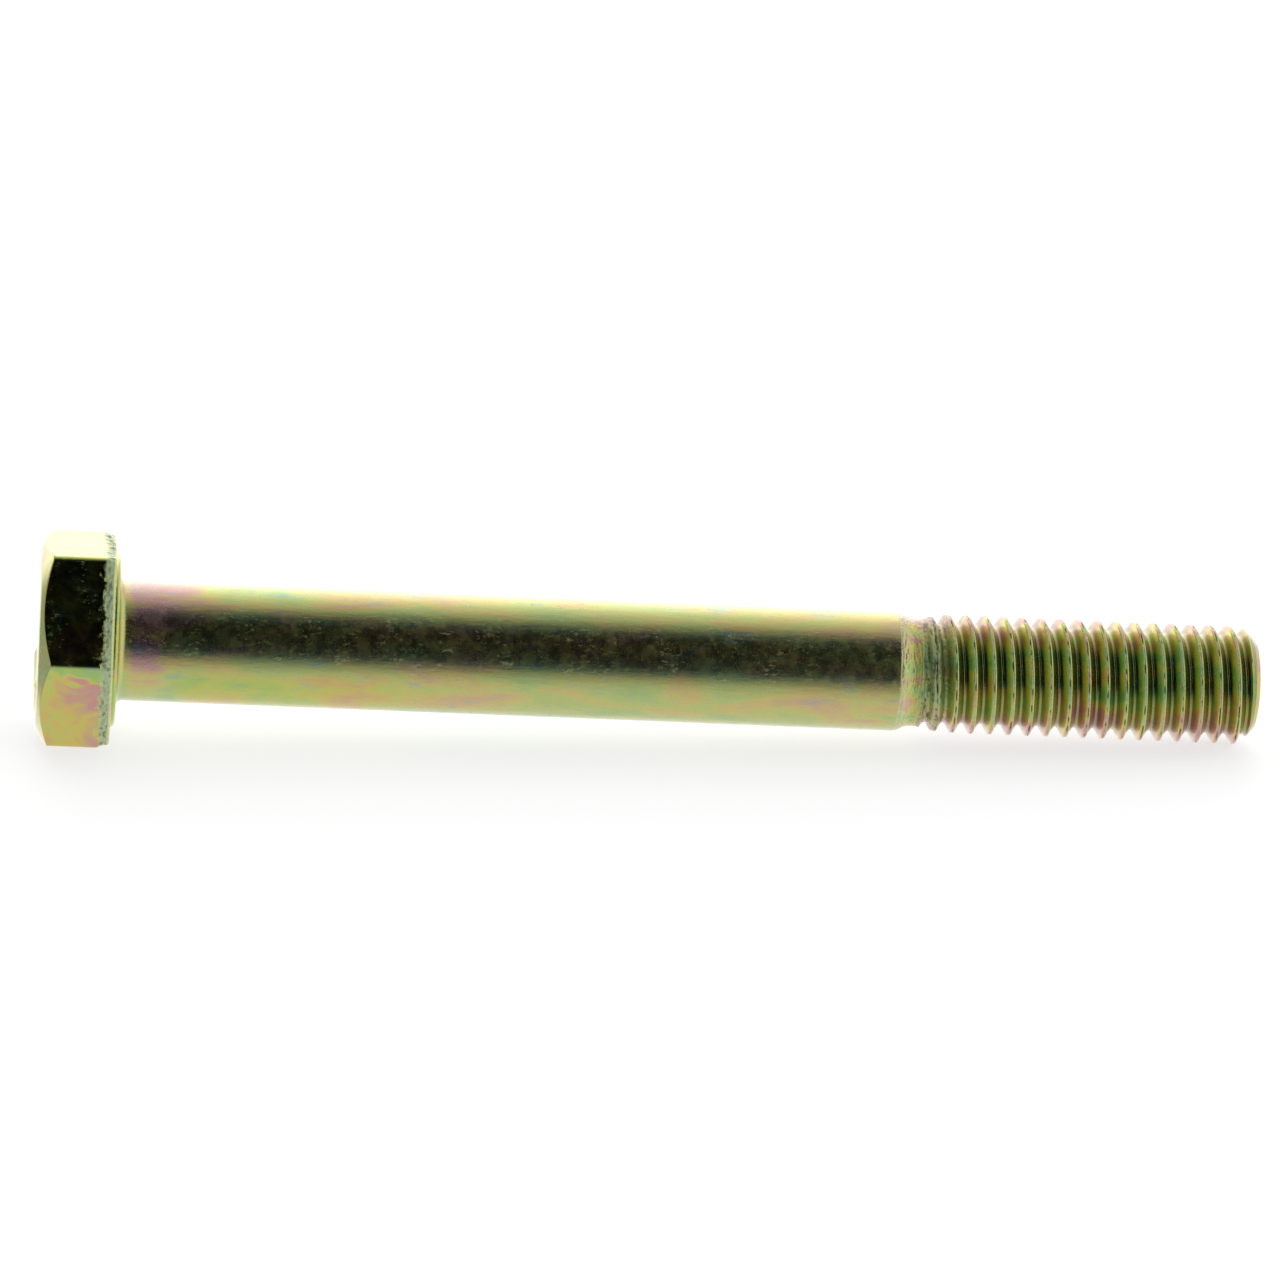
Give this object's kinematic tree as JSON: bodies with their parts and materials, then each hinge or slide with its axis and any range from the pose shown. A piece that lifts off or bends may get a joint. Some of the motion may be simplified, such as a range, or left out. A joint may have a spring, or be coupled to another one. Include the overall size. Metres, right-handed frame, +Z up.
{
  "type": "hex bolt",
  "caption": "Partly threaded metric hexagon-head bolt with a washer face, plain shank, rolled right-hand thread and chamfered point.",
  "frame": {"origin": "Centre of the bearing face under the head, on the bolt's axis.", "axes": "+X runs along the bolt's axis from the head to the threaded end. +Z is up, square to one flat of the head, and the opposite flat faces down along -Z. +Y completes the right-handed frame, towards a corner of the hexagon."},
  "size_m": [0.0803, 0.0148, 0.0128],
  "materials": {
    "yellow_zinc_head": "yellow zinc plate over forged steel, iridescent, semi-gloss, with small scuffs",
    "yellow_zinc_shank": "yellow zinc plate over drawn steel, iridescent, semi-gloss",
    "yellow_zinc_thread": "yellow zinc plate over a rolled thread, iridescent green to pink"
  },
  "bodies": {
    "root": {"hex_head": "yellow_zinc_head", "washer_face": "yellow_zinc_head", "shank": "yellow_zinc_shank", "neck": "yellow_zinc_thread", "thread": "yellow_zinc_thread", "point": "yellow_zinc_thread"}
  },
  "joints": []
}
